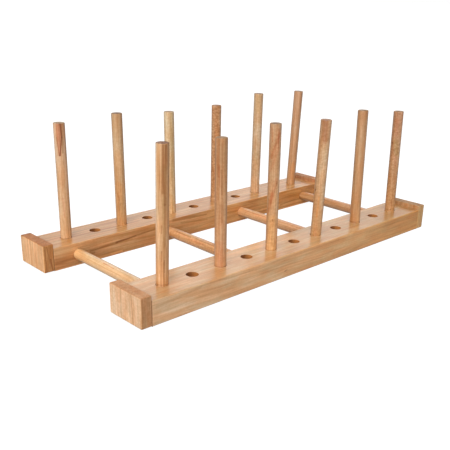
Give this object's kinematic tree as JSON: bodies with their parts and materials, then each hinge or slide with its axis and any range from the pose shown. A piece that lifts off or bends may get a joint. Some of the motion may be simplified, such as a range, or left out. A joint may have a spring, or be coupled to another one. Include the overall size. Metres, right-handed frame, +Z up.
{
  "type": "wooden plate stand",
  "caption": "Wooden plate stand: capped rails joined by cross dowels, with loose upright pegs in drilled sockets that hold plates on edge.",
  "frame": {"origin": "middle of the footprint, between the two rails, on the table that the rails stand on", "axes": "+X along the rails, +Y from the front rail to the back rail, +Z up"},
  "size_m": [0.368, 0.18, 0.1309],
  "materials": {
    "front_rail": "satin clear lacquer",
    "back_rail": "satin clear lacquer",
    "front_left_cap": "satin clear lacquer",
    "front_right_cap": "satin clear lacquer",
    "back_left_cap": "satin clear lacquer",
    "back_right_cap": "satin clear lacquer",
    "front_peg_1": "satin clear lacquer",
    "front_peg_2": "satin clear lacquer",
    "front_peg_3": "satin clear lacquer",
    "front_peg_4": "satin clear lacquer",
    "front_peg_5": "satin clear lacquer",
    "front_peg_6": "satin clear lacquer",
    "back_peg_1": "satin clear lacquer",
    "back_peg_2": "satin clear lacquer",
    "back_peg_3": "satin clear lacquer",
    "back_peg_4": "satin clear lacquer",
    "back_peg_5": "satin clear lacquer",
    "back_peg_6": "satin clear lacquer",
    "cross_dowel": "satin clear lacquer",
    "dowel_pin": "raw"
  },
  "bodies": {
    "stand": {"front_rail": "front_rail", "back_rail": "back_rail", "front_left_cap": "front_left_cap", "front_right_cap": "front_right_cap", "back_left_cap": "back_left_cap", "back_right_cap": "back_right_cap", "front_left_cap_pin_1": "dowel_pin", "front_left_cap_pin_2": "dowel_pin", "front_right_cap_pin_1": "dowel_pin", "front_right_cap_pin_2": "dowel_pin", "back_left_cap_pin_1": "dowel_pin", "back_left_cap_pin_2": "dowel_pin", "back_right_cap_pin_1": "dowel_pin", "back_right_cap_pin_2": "dowel_pin", "cross_dowel_1": "cross_dowel", "cross_dowel_2": "cross_dowel", "cross_dowel_3": "cross_dowel", "cross_dowel_4": "cross_dowel"},
    "front_peg_1": {"front_peg_1": "front_peg_1"},
    "front_peg_2": {"front_peg_2": "front_peg_2"},
    "front_peg_3": {"front_peg_3": "front_peg_3"},
    "front_peg_4": {"front_peg_4": "front_peg_4"},
    "front_peg_5": {"front_peg_5": "front_peg_5"},
    "front_peg_6": {"front_peg_6": "front_peg_6"},
    "back_peg_1": {"back_peg_1": "back_peg_1"},
    "back_peg_2": {"back_peg_2": "back_peg_2"},
    "back_peg_3": {"back_peg_3": "back_peg_3"},
    "back_peg_4": {"back_peg_4": "back_peg_4"},
    "back_peg_5": {"back_peg_5": "back_peg_5"},
    "back_peg_6": {"back_peg_6": "back_peg_6"}
  },
  "joints": [
    {"name": "front_peg_1_lift", "type": "slide", "parent": "stand", "child": "front_peg_1", "axis": [0.012, -0.0084, 0.9999], "range_m": [0, 0.02]},
    {"name": "front_peg_2_lift", "type": "slide", "parent": "stand", "child": "front_peg_2", "axis": [-0.0024, 0.0068, 1], "range_m": [0, 0.02]},
    {"name": "front_peg_3_lift", "type": "slide", "parent": "stand", "child": "front_peg_3", "axis": [-0.0064, 0.0008, 1], "range_m": [0, 0.02]},
    {"name": "front_peg_4_lift", "type": "slide", "parent": "stand", "child": "front_peg_4", "axis": [0.0208, -0.0152, 0.9997], "range_m": [0, 0.02]},
    {"name": "front_peg_5_lift", "type": "slide", "parent": "stand", "child": "front_peg_5", "axis": [-0.004, 0.0092, 0.9999], "range_m": [0, 0.02]},
    {"name": "front_peg_6_lift", "type": "slide", "parent": "stand", "child": "front_peg_6", "axis": [-0.0112, 0.0072, 0.9999], "range_m": [0, 0.02]},
    {"name": "back_peg_1_lift", "type": "slide", "parent": "stand", "child": "back_peg_1", "axis": [0.002, 0.004, 1], "range_m": [0, 0.02]},
    {"name": "back_peg_2_lift", "type": "slide", "parent": "stand", "child": "back_peg_2", "axis": [-0.008, 0.0072, 0.9999], "range_m": [0, 0.02]},
    {"name": "back_peg_3_lift", "type": "slide", "parent": "stand", "child": "back_peg_3", "axis": [-0.0096, 0.0068, 0.9999], "range_m": [0, 0.02]},
    {"name": "back_peg_4_lift", "type": "slide", "parent": "stand", "child": "back_peg_4", "axis": [0.004, 0.0024, 1], "range_m": [0, 0.02]},
    {"name": "back_peg_5_lift", "type": "slide", "parent": "stand", "child": "back_peg_5", "axis": [0.0048, -0.006, 1], "range_m": [0, 0.02]},
    {"name": "back_peg_6_lift", "type": "slide", "parent": "stand", "child": "back_peg_6", "axis": [0.0252, -0.024, 0.9994], "range_m": [0, 0.02]}
  ]
}
